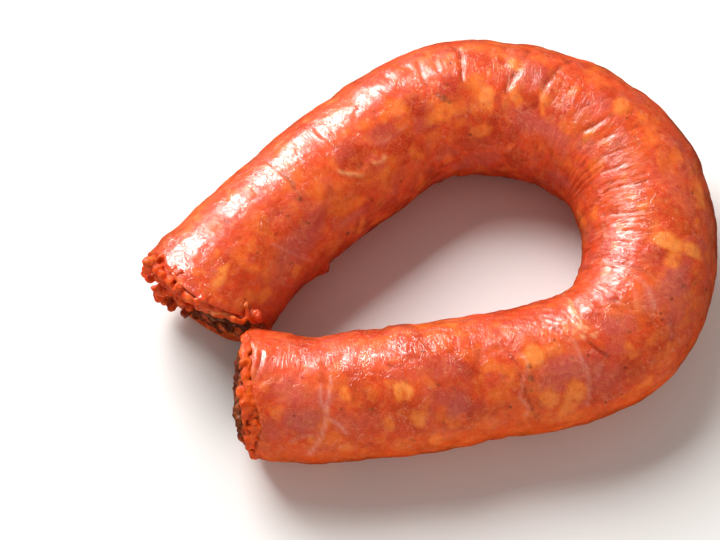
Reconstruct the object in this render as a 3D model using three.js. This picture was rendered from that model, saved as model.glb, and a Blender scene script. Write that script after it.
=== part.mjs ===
// A cured sausage bent into a horseshoe, lying on a flat surface. It is one
// piece: minced meat and fat set firm in a natural casing that has dried onto
// them, with both ends broken off so that the coarse meat stands out of the
// casing as a low dome. Millimetres, +Z up, resting on Z = 0. The two cut ends
// point towards -X and the bend is at +X.
import * as THREE from "three";

// ---- driving dimensions ---------------------------------------------------
// Centreline from the back arm's broken end, round the bend, to the front
// arm's broken end: X, Y and the sausage's radius there.
const CENTRELINE = [
  [-62.3, -16.5, 18.1],
  [-53.3, -4.2, 18.0],
  [-43.5, 6.3, 17.9],
  [-28.8, 20.0, 18.2],
  [-15.5, 31.3, 18.4],
  [-4.9, 38.7, 18.4],
  [9.1, 42.5, 18.9],
  [28.3, 40.4, 18.8],
  [42.2, 34.1, 18.8],
  [53.1, 23.2, 18.7],
  [58.0, 8.0, 18.6],
  [57.8, -7.6, 18.3],
  [51.4, -22.8, 17.9],
  [40.5, -31.5, 17.6],
  [25.3, -36.1, 17.1],
  [10.2, -38.5, 16.8],
  [-4.7, -41.5, 17.3],
  [-19.8, -43.4, 17.0],
  [-35.0, -44.4, 16.9],
  [-49.6, -42.0, 16.7],
];
const PRESSED_FLAT = 0.9; // how far the soft underside is pressed flat
const STATIONS = 88; // rings of vertices along the casing
const AROUND = 32; // vertices in each ring
const CAP_RINGS = 5; // rings across each broken end
const END_BLEND = 14; // length over which the casing follows its ragged edge

// Slow unevenness of a hand-filled sausage, as a share of its radius:
// [share, wavelength along it in mm, lobes around it, phase].
const UNEVEN = [
  [0.005, 47, 1, 0.7],
  [0.004, 31, -2, 2.1],
  [0.004, 19, 3, 4.0],
  [0.003, 13, -1, 5.2],
];

// How far each broken end reaches past its nominal plane, by the angle around
// the sausage: 0 is the side away from the bend's centre, 90 the top. The back
// end overhangs at the top, and is broken back where the front arm passes it.
const bump = (a, middle, width) => {
  const d = Math.atan2(Math.sin(a - middle), Math.cos(a - middle));
  return Math.exp(-((d / width) ** 2));
};
const deg = Math.PI / 180;
const backEdge = (a) =>
  1.0 + 5.2 * bump(a, 100 * deg, 50 * deg) - 5.4 * bump(a, 183 * deg, 48 * deg);
const frontEdge = (a) =>
  0.2 +
  2.2 * bump(a, 128 * deg, 36 * deg) -
  2.4 * bump(a, 12 * deg, 46 * deg) -
  1.6 * bump(a, 195 * deg, 36 * deg);
const BACK_DOME = 1.6; // how far the middle of each broken face stands out
const FRONT_DOME = 3.2;

// ---- the centreline ---------------------------------------------------------
// X, Y and radius go through one curve together, so all three change smoothly.
const curve = new THREE.CatmullRomCurve3(
  CENTRELINE.map(([x, y, r]) => new THREE.Vector3(x, y, r)),
  false,
  "catmullrom",
  0.5,
);
const SAMPLES = 2400;
const run = [];
{
  let length = 0;
  let last = curve.getPoint(0);
  for (let i = 0; i <= SAMPLES; i++) {
    const p = curve.getPoint(i / SAMPLES);
    length += Math.hypot(p.x - last.x, p.y - last.y);
    run.push(length);
    last = p;
  }
}
const LENGTH = run[SAMPLES];

// The centreline's point, direction and the sausage's radius at a distance s.
function at(s) {
  const inside = Math.min(Math.max(s, 0), LENGTH);
  let lo = 0;
  let hi = SAMPLES;
  while (hi - lo > 1) {
    const mid = (lo + hi) >> 1;
    if (run[mid] <= inside) lo = mid;
    else hi = mid;
  }
  const t = (lo + (inside - run[lo]) / (run[hi] - run[lo])) / SAMPLES;
  const p = curve.getPoint(t);
  const h = 1e-4;
  const a = curve.getPoint(Math.max(t - h, 0));
  const b = curve.getPoint(Math.min(t + h, 1));
  const l = Math.hypot(b.x - a.x, b.y - a.y);
  const tx = (b.x - a.x) / l;
  const ty = (b.y - a.y) / l;
  return { x: p.x, y: p.y, radius: p.z, tx, ty };
}

const uneven = (s, a) =>
  UNEVEN.reduce(
    (sum, [share, wave, lobes, phase]) =>
      sum + share * Math.sin((2 * Math.PI * s) / wave + lobes * a + phase),
    0,
  );

// A point of the surface: s along, angle a around, share of the radius, and
// a shift along the centreline's direction there.
function point(s, a, share, shift) {
  const c = at(s);
  const r = c.radius * (1 + uneven(s, a)) * share;
  const out = Math.cos(a) * r;
  return new THREE.Vector3(
    c.x - c.ty * out + c.tx * shift,
    c.y + c.tx * out + c.ty * shift,
    Math.max(0, c.radius - PRESSED_FLAT + Math.sin(a) * r),
  );
}

// ---- the skin ---------------------------------------------------------------
const smooth = (t) => {
  const c = Math.min(Math.max(t, 0), 1);
  return c * c * (3 - 2 * c);
};
const angle = (j) => (2 * Math.PI * j) / AROUND - Math.PI / 2;
const rings = [];

// The back end's broken face, from near its middle out to the casing's edge.
for (let k = 1; k <= CAP_RINGS; k++) {
  const share = k / (CAP_RINGS + 1);
  rings.push((a) =>
    point(
      0,
      a,
      share,
      -(backEdge(a) * share ** 2 + BACK_DOME * (1 - share ** 2.4)),
    ),
  );
}
for (let i = 0; i <= STATIONS; i++) {
  const s = (LENGTH * i) / STATIONS;
  rings.push((a) => {
    const back = backEdge(a) * (1 - smooth(s / END_BLEND));
    const front = frontEdge(a) * (1 - smooth((LENGTH - s) / END_BLEND));
    return point(s, a, 1, front - back);
  });
}
for (let k = CAP_RINGS; k >= 1; k--) {
  const share = k / (CAP_RINGS + 1);
  rings.push((a) =>
    point(
      LENGTH,
      a,
      share,
      frontEdge(a) * share ** 2 + FRONT_DOME * (1 - share ** 2.4),
    ),
  );
}

const positions = [];
const index = [];
for (const ring of rings)
  for (let j = 0; j < AROUND; j++) positions.push(...ring(angle(j)).toArray());
const first = positions.length / 3;
positions.push(...point(0, 0, 0, -BACK_DOME).toArray());
const last = first + 1;
positions.push(...point(LENGTH, 0, 0, FRONT_DOME).toArray());

for (let i = 0; i < rings.length - 1; i++)
  for (let j = 0; j < AROUND; j++) {
    const a = i * AROUND + j;
    const b = i * AROUND + ((j + 1) % AROUND);
    const c = a + AROUND;
    const d = b + AROUND;
    if ((i + j) % 2) index.push(a, b, c, b, d, c);
    else index.push(a, d, c, a, b, d);
  }
const end = (rings.length - 1) * AROUND;
for (let j = 0; j < AROUND; j++) {
  const n = (j + 1) % AROUND;
  index.push(first, n, j);
  index.push(last, end + j, end + n);
}

const geometry = new THREE.BufferGeometry();
geometry.setAttribute(
  "position",
  new THREE.Float32BufferAttribute(positions, 3),
);
geometry.setIndex(index);
geometry.computeVertexNormals();
geometry.computeBoundingBox();

const sausage = new THREE.Mesh(
  geometry,
  new THREE.MeshStandardMaterial({
    color: 0xb9462a,
    roughness: 0.35,
    metalness: 0,
  }),
);
sausage.name = "sausage";

// The origin is the middle of the bounding box's underside.
const box = geometry.boundingBox;
sausage.position.set(
  -(box.min.x + box.max.x) / 2,
  -(box.min.y + box.max.y) / 2,
  -box.min.z,
);

const part = new THREE.Group();
part.add(sausage);

export default part;
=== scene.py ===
import math

import bpy
import numpy as np
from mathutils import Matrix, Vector


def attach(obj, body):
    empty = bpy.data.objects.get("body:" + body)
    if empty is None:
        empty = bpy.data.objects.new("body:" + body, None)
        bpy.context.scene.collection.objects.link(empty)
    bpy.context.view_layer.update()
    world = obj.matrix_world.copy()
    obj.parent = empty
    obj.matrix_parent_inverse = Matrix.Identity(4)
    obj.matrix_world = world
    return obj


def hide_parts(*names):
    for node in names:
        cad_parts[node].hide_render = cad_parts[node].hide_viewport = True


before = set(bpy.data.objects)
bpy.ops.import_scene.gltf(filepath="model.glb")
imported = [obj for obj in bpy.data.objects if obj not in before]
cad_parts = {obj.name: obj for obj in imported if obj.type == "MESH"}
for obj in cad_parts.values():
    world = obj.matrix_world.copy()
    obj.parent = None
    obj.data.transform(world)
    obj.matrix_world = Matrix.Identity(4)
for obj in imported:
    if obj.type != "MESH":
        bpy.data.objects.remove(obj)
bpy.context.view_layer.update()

MM = 0.001
DEG = math.pi / 180.0

# =====================================================================
# 1. The sausage's own shape, in millimetres, in the CAD model's frame
# =====================================================================
CENTRELINE = np.array([
    (-62.3, -16.5, 18.1), (-53.3, -4.2, 18.0), (-43.5, 6.3, 17.9),
    (-28.8, 20.0, 18.2), (-15.5, 31.3, 18.4), (-4.9, 38.7, 18.4),
    (9.1, 42.5, 18.9), (28.3, 40.4, 18.8), (42.2, 34.1, 18.8),
    (53.1, 23.2, 18.7), (58.0, 8.0, 18.6), (57.8, -7.6, 18.3),
    (51.4, -22.8, 17.9), (40.5, -31.5, 17.6), (25.3, -36.1, 17.1),
    (10.2, -38.5, 16.8), (-4.7, -41.5, 17.3), (-19.8, -43.4, 17.0),
    (-35.0, -44.4, 16.9), (-49.6, -42.0, 16.7)])
CENTRELINE[:, 0] += 0.335          # the CAD model stands centred on its box
CENTRELINE[:, 1] -= 0.035
PRESSED = 0.9                      # how far the underside is pressed flat
END_BLEND = 14.0
UNEVEN = [(0.005, 47, 1, 0.7), (0.004, 31, -2, 2.1),
          (0.004, 19, 3, 4.0), (0.003, 13, -1, 5.2)]
SAMPLES = 2400


def spline(t):
    """The centreline's x, y and radius at t from 0 to 1, a uniform Catmull-Rom curve."""
    P = CENTRELINE
    n = len(P)
    x = np.clip(t, 0, 1) * (n - 1)
    i = np.minimum(np.floor(x).astype(int), n - 2)
    w = (x - i)[..., None]
    ext = np.vstack([2 * P[0] - P[1], P, 2 * P[-1] - P[-2]])
    p0, p1, p2, p3 = ext[i], ext[i + 1], ext[i + 2], ext[i + 3]
    v0, v1 = (p2 - p0) * 0.5, (p3 - p1) * 0.5
    return (2 * p1 - 2 * p2 + v0 + v1) * w ** 3 + (-3 * p1 + 3 * p2 - 2 * v0 - v1) * w ** 2 + v0 * w + p1


_T = np.linspace(0, 1, SAMPLES + 1)
_C = spline(_T)
_RUN = np.concatenate([[0], np.cumsum(np.hypot(*np.diff(_C[:, :2], axis=0).T))])
LENGTH = float(_RUN[-1])


def along(s):
    """Centre (x, y), radius and direction at a distance s. Beyond an end it goes straight on."""
    inside = np.clip(s, 0, LENGTH)
    t = np.interp(inside, _RUN, _T)
    c = spline(t)
    a, b = spline(np.maximum(t - 1e-4, 0)), spline(np.minimum(t + 1e-4, 1))
    d = (b - a)[..., :2]
    d = d / np.linalg.norm(d, axis=-1, keepdims=True)
    over = (s - inside)[..., None]
    return c[..., :2] + d * over, c[..., 2], d


def around_delta(a, middle):
    return np.arctan2(np.sin(a - middle), np.cos(a - middle))


def lobe(a, middle, width):
    return np.exp(-(around_delta(a, middle) / width) ** 2)


def back_rim(a):
    """How far the back arm's broken end reaches past its nominal plane."""
    return 1.0 + 5.2 * lobe(a, 100 * DEG, 50 * DEG) - 5.4 * lobe(a, 183 * DEG, 48 * DEG)


def front_rim(a):
    return (0.2 + 2.2 * lobe(a, 128 * DEG, 36 * DEG) - 2.4 * lobe(a, 12 * DEG, 46 * DEG)
            - 1.6 * lobe(a, 195 * DEG, 36 * DEG) - 2.6 * lobe(a, -28 * DEG, 34 * DEG))


BACK_DOME, FRONT_DOME = 1.6, 3.2


def smooth(t):
    c = np.clip(t, 0, 1)
    return c * c * (3 - 2 * c)


# ------------------------------------------------------------- noise
def _hash(ix, iy, iz, seed):
    h = (ix.astype(np.int64) * 374761393 + iy.astype(np.int64) * 668265263
         + iz.astype(np.int64) * 2147483647 + seed * 1274126177) & 0xFFFFFFFF
    h = ((h ^ (h >> 13)) * 1274126177) & 0xFFFFFFFF
    h = ((h ^ (h >> 16)) * 2246822519) & 0xFFFFFFFF
    return ((h ^ (h >> 15)) & 0xFFFFFF) / float(0xFFFFFF)


def vnoise(p, size, seed=0):
    """Smooth noise from -1 to 1 with features of that size in mm, at points p (n, 3)."""
    q = p / size
    i = np.floor(q).astype(np.int64)
    f = q - i
    u = f * f * f * (f * (f * 6 - 15) + 10)
    out = 0.0
    for dx in (0, 1):
        for dy in (0, 1):
            for dz in (0, 1):
                g = _hash(i[:, 0] + dx, i[:, 1] + dy, i[:, 2] + dz, seed)
                ph = g * 2 * math.pi
                cz = _hash(i[:, 0] + dx, i[:, 1] + dy, i[:, 2] + dz, seed + 77) * 2 - 1
                sz = np.sqrt(np.maximum(0, 1 - cz * cz))
                d = (f[:, 0] - dx) * np.cos(ph) * sz + (f[:, 1] - dy) * np.sin(ph) * sz + (f[:, 2] - dz) * cz
                w = (u[:, 0] if dx else 1 - u[:, 0]) * (u[:, 1] if dy else 1 - u[:, 1]) * (u[:, 2] if dz else 1 - u[:, 2])
                out = out + w * d
    return np.clip(out * 1.6, -1, 1)


def fbm(p, size, octaves=3, seed=0, gain=0.5):
    total, amp, norm = 0.0, 1.0, 0.0
    for k in range(octaves):
        total = total + amp * vnoise(p, size / 2 ** k, seed + 13 * k)
        norm += amp
        amp *= gain
    return total / norm


def cells(p, size, seed=0, jitter=0.9):
    """Nearest and second-nearest distances, in mm, and a random number of the nearest cell."""
    q = p / size
    i = np.floor(q).astype(np.int64)
    f1 = np.full(len(p), 9.0)
    f2 = np.full(len(p), 9.0)
    cid = np.zeros(len(p))
    for dx in (-1, 0, 1):
        for dy in (-1, 0, 1):
            for dz in (-1, 0, 1):
                a, b, c = i[:, 0] + dx, i[:, 1] + dy, i[:, 2] + dz
                px = a + 0.5 + jitter * (_hash(a, b, c, seed + 1) - 0.5)
                py = b + 0.5 + jitter * (_hash(a, b, c, seed + 2) - 0.5)
                pz = c + 0.5 + jitter * (_hash(a, b, c, seed + 3) - 0.5)
                d = np.sqrt((q[:, 0] - px) ** 2 + (q[:, 1] - py) ** 2 + (q[:, 2] - pz) ** 2)
                near = d < f1
                f2 = np.where(near, f1, np.minimum(f2, d))
                cid = np.where(near, _hash(a, b, c, seed + 4), cid)
                f1 = np.where(near, d, f1)
    return f1 * size, f2 * size, cid


# =====================================================================
# 2. What the casing does along and around the sausage
#    s in mm from the back arm's end, angle in degrees: 0 is the side away
#    from the bend's centre, 90 the top, 180 the side facing the middle
# =====================================================================
# Small swellings and necks along the outer and inner outline.
OUTER = np.array([(0, 1.2), (4, .9), (6, 1.0), (8, .6), (10, .1), (18, .15), (22, -.2), (30, 0), (36, -.1), (40, .2),
                  (48, .1), (54, .25), (58, -.25), (62, -.5), (64, -.75), (66, -.4), (68, -.1), (76, -.2), (80, 0),
                  (86, -.1), (90, 0), (96, -.2), (102, -.3), (104, -.6), (106, -.35), (108, 0), (112, .2), (116, 0),
                  (118, -.4), (120, -.5), (122, -.35), (126, 0), (130, -.1), (132, -.55), (134, -.55), (136, -.3),
                  (142, -.4), (146, -.3), (150, .1), (152, .1), (156, -.5), (160, -.55), (164, -.25), (166, -.1),
                  (170, -.3), (180, -.4), (188, -.2), (194, 0), (196, .35), (198, 0), (204, -.1), (208, -.4),
                  (212, -.3), (214, .05), (216, -.2), (220, .15), (226, -.05), (230, -.4), (232, -.35), (234, -.1),
                  (238, -.3), (244, .2), (248, -.15), (252, 0), (256, -.2), (258, .05), (266, -.3), (272, .05),
                  (278, -.3), (282, .05), (286, -.2), (290, .3), (294, .1), (299, -.2)])
INNER = np.array([(0, .3), (6, .6), (8, .6), (10, .4), (14, .3), (16, 0), (20, -.15), (22, -.35), (24, -.4), (26, -.3),
                  (27, -.1), (33.6, -.3), (36, -.5), (40, -.3), (44, -.05), (48, .05), (54, 0), (58, .35), (62, .4),
                  (66, .05), (70, -.2), (72, -.3), (76, -.05), (80, .3), (82, .15), (86, -.2), (88, -.2), (90, .2),
                  (92, .05), (100, 0), (226, 0), (230, .05), (232, -.2), (238, 0), (242, .15), (248, -.15),
                  (252, -.2), (254, .05), (258, .35), (260, .35), (262, -.15), (264, .15), (268, .35), (272, 0),
                  (276, -.35), (280, -.4), (284, -.4), (286, -.2), (290, .05), (294, 0), (299, 0)])
OUTER_ANGLE = np.array([(0, 20), (60, 24), (75, 26), (100, 32), (125, 31), (150, 20), (170, 10), (186, 0),
                        (200, -12), (216, -18), (299, -19)])
INNER_ANGLE = np.array([(0, 197), (75, 202), (100, 208), (125, 207), (150, 197), (170, 187), (186, 176),
                        (200, 164), (216, 158), (299, 157)])

# Folds and creases of the casing: (depth, half width, strength of painted crease shade, [(s, angle), ...]).
# A negative depth is a ridge.
FOLDS = [
    (.26, .55, .5, [(16.4, 92), (16.2, 84), (15.2, 66)]),
    (-.14, .9, 0, [(14.4, 84), (14.2, 68)]),
    (.22, .6, .3, [(26.4, 86), (27.6, 74), (29.4, 58)]),
    (.46, .6, .9, [(34.3, 104), (35.8, 92), (36.1, 76), (36.4, 55)]),
    (-.26, .7, 0, [(36.6, 110), (35.0, 104), (34.6, 95), (34.9, 80)]),
    (-.2, .6, 0, [(36.9, 112), (37.0, 104), (36.8, 99)]),
    (.2, .5, .35, [(42.0, 84), (43.2, 74), (46.0, 60)]),
    (.16, .4, .35, [(44.2, 82), (45.2, 76), (45.0, 69), (46.8, 64)]),
    (.25, .6, .35, [(50.8, 82), (51.6, 70), (54.2, 54)]),
    (.2, .5, .3, [(53.8, 84), (55.0, 72), (56.6, 62)]),
    (.15, .4, .3, [(61.0, 86), (61.4, 80), (64.4, 76), (66.0, 70)]),
    (.15, .4, .3, [(68.4, 84), (69.4, 76), (72.0, 70)]),
    (.2, .5, .3, [(75.8, 86), (77.4, 78), (80.6, 74)]),
    (.28, .6, .4, [(82.6, 96), (83.0, 82), (84.2, 60)]),
    (.25, .5, .3, [(87.4, 86), (87.2, 74), (88.6, 60)]),
    (.4, .6, .6, [(92.6, 100), (93.2, 86), (93.4, 66), (92.0, 52)]),
    (.14, .5, .2, [(99.4, 104), (100.2, 86), (102.0, 66)]),
    (.5, 1.1, .55, [(104.6, 112), (106.2, 96), (108.0, 84), (109.6, 62), (110.4, 46)]),
    (-.2, 1.2, 0, [(107.4, 112), (109.2, 96), (110.6, 80)]),
    (.45, 1.0, .5, [(114.0, 122), (115.4, 104), (116.8, 84), (118.6, 62), (120.4, 44)]),
    (-.2, 1.1, 0, [(117.0, 112), (118.2, 94), (119.6, 80)]),
    (.18, .5, .25, [(121.6, 108), (122.6, 90), (124.0, 74)]),
    (.25, .6, .4, [(126.6, 116), (128.6, 100), (131.6, 84), (134.0, 72)]),
    (.45, .8, .6, [(131.2, 122), (133.6, 112), (135.6, 98), (138.0, 84), (140.6, 66)]),
    (-.28, .9, 0, [(134.0, 120), (136.0, 108), (138.2, 94)]),
    (.3, .6, .45, [(138.6, 116), (141.0, 102), (142.6, 88), (144.0, 72)]),
    (.25, .5, .4, [(144.4, 122), (146.4, 108), (147.4, 90), (148.2, 70)]),
    # the fan of fine wrinkles on the bend's inner half
    (.34, .5, .6, [(149.6, 132), (151.0, 118), (152.0, 100), (153.4, 78)]),
    (.2, .4, .4, [(152.4, 124), (154.0, 112), (154.4, 96)]),
    (.26, .42, .5, [(154.0, 134), (155.6, 120), (156.4, 104), (156.4, 92)]),
    (.4, .5, .8, [(157.0, 136), (157.8, 118), (158.6, 104), (158.4, 90)]),
    (.18, .35, .3, [(159.4, 122), (160.6, 110), (160.4, 98)]),
    (.3, .42, .5, [(160.2, 134), (161.6, 116), (163.0, 100), (166.6, 84), (170.0, 62)]),
    (.16, .35, .3, [(163.6, 120), (164.4, 108), (165.6, 98)]),
    (.42, .5, .8, [(165.4, 136), (167.0, 120), (167.6, 106), (167.8, 92)]),
    (.22, .4, .4, [(168.8, 124), (169.4, 110), (168.8, 96)]),
    (.26, .42, .5, [(170.4, 132), (171.2, 116), (171.4, 102), (172.4, 88)]),
    (.36, .45, .7, [(173.2, 134), (173.8, 118), (174.6, 104), (174.4, 92)]),
    (.18, .35, .3, [(175.6, 122), (176.4, 110), (176.0, 100)]),
    (.28, .42, .5, [(177.4, 130), (178.2, 114), (179.4, 102)]),
    (.2, .4, .3, [(180.0, 126), (180.8, 112), (182.0, 98)]),
    (.26, .42, .4, [(183.6, 106), (182.2, 96), (180.6, 86), (179.8, 76)]),
    (.44, .5, .8, [(184.6, 134), (185.8, 116), (186.2, 100), (186.0, 86)]),
    (.2, .4, .3, [(187.8, 122), (188.6, 108), (188.2, 94)]),
    (.22, .4, .3, [(190.8, 124), (191.4, 110), (190.8, 98)]),
    (.28, .45, .4, [(195.8, 126), (195.6, 110), (197.0, 98)]),
    # pleats that run together where the bend meets the front arm
    (.22, .34, .35, [(231.0, 130), (226.0, 118), (221.2, 108), (217.0, 94), (212.8, 82)]),
    (.22, .34, .35, [(225.5, 124), (220.5, 114), (216.2, 101), (213.5, 90)]),
    (.20, .32, .3, [(222.5, 123), (217.8, 114), (214.0, 101)]),
    (.18, .32, .3, [(230.2, 113), (225.2, 106), (220.2, 99)]),
    (.18, .30, .3, [(228.0, 124), (223.0, 112), (218.4, 100), (215.0, 90)]),
    (.16, .30, .3, [(234.0, 120), (228.6, 110), (223.6, 103)]),
    (.20, .34, .35, [(209.0, 110), (203.2, 104), (196.8, 86), (190.8, 50)]),
    (.18, .32, .3, [(207.8, 112), (200.2, 104), (194.8, 84), (191.0, 60)]),
    (.18, .32, .3, [(209.8, 106), (204.0, 95), (199.8, 80)]),
    (.16, .30, .3, [(206.0, 116), (201.4, 110), (196.4, 98)]),
    (.16, .30, .3, [(208.4, 102), (204.8, 92), (201.0, 84)]),
    (.38, .45, 1.0, [(210.8, 82), (209.0, 70), (207.5, 60)]),
    (.16, .34, .4, [(207.5, 60), (206.2, 50), (206.6, 42)]),
    (-.16, .5, 0, [(229.0, 127), (223.8, 113), (219.0, 101), (215.6, 88)]),
    (-.16, .5, 0, [(208.4, 111), (201.6, 104), (195.8, 85)]),
    (-.14, .5, 0, [(209.4, 108), (203.6, 99), (198.4, 83)]),
    (.14, .35, .25, [(213.6, 44), (211.0, 34), (208.4, 22)]),
    # the front arm
    (.24, .38, .9, [(232.0, 92), (229.5, 78), (229.0, 66), (227.8, 46), (226.8, 32), (225.2, 8)]),
    (.14, .4, .3, [(233.8, 78), (231.8, 66)]),
    (.2, .45, .7, [(242.6, 58), (243.6, 44), (244.2, 32)]),
    (.16, .4, .4, [(241.0, 82), (241.8, 66)]),
    (.22, .7, .5, [(253.4, 98), (256.0, 95), (258.0, 97)]),
    (.16, .6, .4, [(257.4, 92), (260.0, 90), (262.6, 93)]),
    (.18, .4, .5, [(270.8, 80), (271.8, 66), (273.0, 56)]),
    (.14, .4, .3, [(283.0, 100), (286.0, 88), (287.4, 74)]),
    (.3, .5, .8, [(296.2, 110), (295.8, 98), (296.0, 86), (296.6, 76)]),
    (-.2, .7, 0, [(294.8, 112), (294.4, 98), (294.8, 84)]),
    (.16, .4, .3, [(288.4, 96), (290.4, 84), (291.4, 72)]),
]

# Thin whitish threads of casing: (height, half width, strength, path).
THREADS = [
    (.12, .28, .8, [(276.6, 92), (277.6, 78), (278.4, 62), (278.8, 52), (279.6, 40), (281.6, 22), (283.4, 6)]),
    (.10, .24, .7, [(278.6, 52), (275.8, 44), (274.2, 34)]),
    (.10, .22, .6, [(279.4, 84), (280.0, 70), (278.8, 56)]),
    (.08, .22, .5, [(279.8, 38), (284.0, 34), (286.4, 26)]),
    (.10, .24, .5, [(214.2, 92), (213.8, 74), (213.2, 56), (213.6, 38), (214.6, 22)]),
    (.08, .22, .4, [(209.6, 60), (211.8, 46)]),
    (.10, .22, .5, [(187.2, 118), (188.4, 100), (190.4, 84), (194.2, 70)]),
    (.08, .2, .4, [(189.4, 112), (192.0, 96), (196.6, 82)]),
    (.08, .22, .5, [(228.4, 88), (226.8, 74), (228.6, 60), (229.4, 46), (227.8, 34), (229.2, 24)]),
    (.08, .2, .4, [(245.0, 128), (254.0, 127), (262.0, 132)]),
    (.07, .22, .35, [(19.4, 118), (21.6, 132), (24.6, 148), (28.4, 166)]),
    (.07, .2, .3, [(14.4, 154), (17.0, 166), (19.6, 176)]),
    (.07, .2, .3, [(60.0, 112), (66.0, 116), (72.0, 113)]),
    (.08, .2, .35, [(268.4, 122), (274.0, 112), (281.0, 106)]),
]
# A torn fibrous strand where the pleats meet: yellowish, raised.
STRAND = [(.30, .26, 1.0, [(208.8, 130), (211.0, 119), (211.3, 107), (211.9, 96), (211.5, 85)]),
          (.22, .20, .8, [(209.6, 124), (210.4, 114), (210.2, 104), (211.2, 94)]),
          (.20, .18, .8, [(211.2, 106), (212.8, 100), (213.4, 92)]),
          (.18, .18, .8, [(211.0, 100), (209.6, 92), (208.2, 86)]),
          (.16, .16, .7, [(208.8, 130), (209.4, 138), (208.6, 146)]),
          (.16, .16, .6, [(211.8, 92), (209.9, 89), (208.9, 83)]),
          (.14, .16, .5, [(212.0, 110), (213.6, 104), (215.2, 97)])]

# Patches seen through the casing: (s, angle, half length, half width in mm, turn in degrees, strength).
FAT = [
    (3, 107, 4.5, 1.5, -12, 1.0), (8, 149, 3.0, 2.2, 0, .8), (3, 136, 4.0, 2.0, 15, .6), (11, 106, 3, 2, 0, .35),
    (21, 157, 2.0, 1.8, 0, .9), (45.5, 170, 1.6, 3.0, 15, .9), (43, 137, 4.2, 2.6, 20, .55), (47.5, 143, 1.6, 1.6, 0, .6),
    (36, 93, 3, 2, 0, .35), (57, 138, 2.4, 1.4, 10, .7), (57, 146, 2.8, 2.2, 0, .45), (69.5, 140, 1.2, 2.4, -20, .6),
    (72, 97, 3.0, 2.4, 15, .65), (71, 112, 2.2, 2.0, 0, .3), (83, 120, 6.0, 1.8, -6, .7), (84, 110, 3.5, 2.0, 0, .4),
    (100, 112, 2.4, 3.2, -10, 1.1), (97, 100, 2.6, 2.0, 10, .5), (99, 138, 4.2, 1.6, -10, .7), (107.5, 78, 1.8, 2.6, -20, 1.0),
    (104, 68, 2.2, 1.6, 0, .5), (108.5, 108, 1.4, 3.4, -12, .75), (117.2, 108, 1.3, 3.0, -10, .7), (127, 120, 2, 1.2, 0, .35),
    (135.2, 117, 1.1, 2.2, 0, .8), (136.6, 78, 2.2, 2.8, 0, .8), (141.4, 70, 1.6, 1.8, 0, .45), (128, 66, 2.4, 2, 0, .3),
    (147, 80, 2.0, 2.2, 0, .3), (162.4, 47, 2.8, 1.8, 0, .8), (153, 62, 1.8, 2.0, 0, .5), (157, 52, 2, 1.4, 0, .4),
    (176.4, 80, 2.4, 4.4, 10, 1.15), (180.8, 74, 2.4, 2.2, 0, .8), (176.6, 58, 1.4, 2.8, 0, 1.0), (179.6, 125, 1.8, 1.4, 0, .7),
    (172.4, 96, 2, 1.4, 0, .4), (186, 40, 2.6, 1.6, 0, .35), (196, 52, 2.0, 2.2, 0, .4), (203, 58, 1.6, 2.2, 0, .75),
    (202.6, 20, 1.6, 2.2, 0, .9), (199, 36, 2, 1.6, 0, .35), (206.6, 18, 1.8, 1.2, 0, .4), (216.8, 38, 2.2, 4.2, 6, .9),
    (222.8, 40, 2.2, 3.4, -8, .85), (219, 18, 2.4, 4.6, 0, .95), (223.6, 18, 1.6, 3.4, 0, .6), (219.6, 82, 2.4, 2.2, 0, .6),
    (224.4, 80, 2.8, 2.6, -35, 1.0), (232, 73, 3.2, 1.8, 20, .55), (236.4, 78, 2.0, 1.6, 0, .6), (235, 50, 3.2, 2.4, 0, .35),
    (239, 24, 3.4, 2.6, 0, .35), (248.5, 30, 1.6, 1.2, 0, .5), (259.4, 70, 2.0, 2.4, 30, 1.2), (262.4, 76, 1.4, 1.2, 0, .6),
    (256.4, 42, 2.2, 2.8, 20, .9), (252.4, 15, 1.5, 2.8, -6, 1.25), (263.8, 40, 1.6, 2.4, 20, .8), (261.0, 12, 1.6, 3.0, 0, .9),
    (266, 24, 2.0, 1.6, 0, .45), (274.0, 72, 1.5, 1.5, 0, .9), (266.6, 70, 1.8, 2.0, 0, .4), (274.8, 18, 1.6, 1.8, 0, 1.0),
    (270.8, 6, 1.4, 2.4, 0, .8), (281.6, 32, 1.0, .9, 0, .8), (287.0, 10, 2.4, 1.4, 0, .35), (245, 4, 3.0, 1.2, 0, .3),
    (230, 8, 3.2, 1.6, 0, .3), (291.6, 20, 1.8, 1.4, 0, .5),
    (96, 118, 1.4, 1.6, 0, .6), (92, 118, 1.6, 1.4, 0, .4), (63, 96, 1.8, 1.6, 0, .25), (12.6, 74, 2.4, 2.0, 0, .35),
    (31, 158, 2.4, 1.6, 0, .3), (53, 160, 2.0, 1.6, 0, .35), (64, 150, 2.6, 1.8, 0, .3),
]
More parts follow.
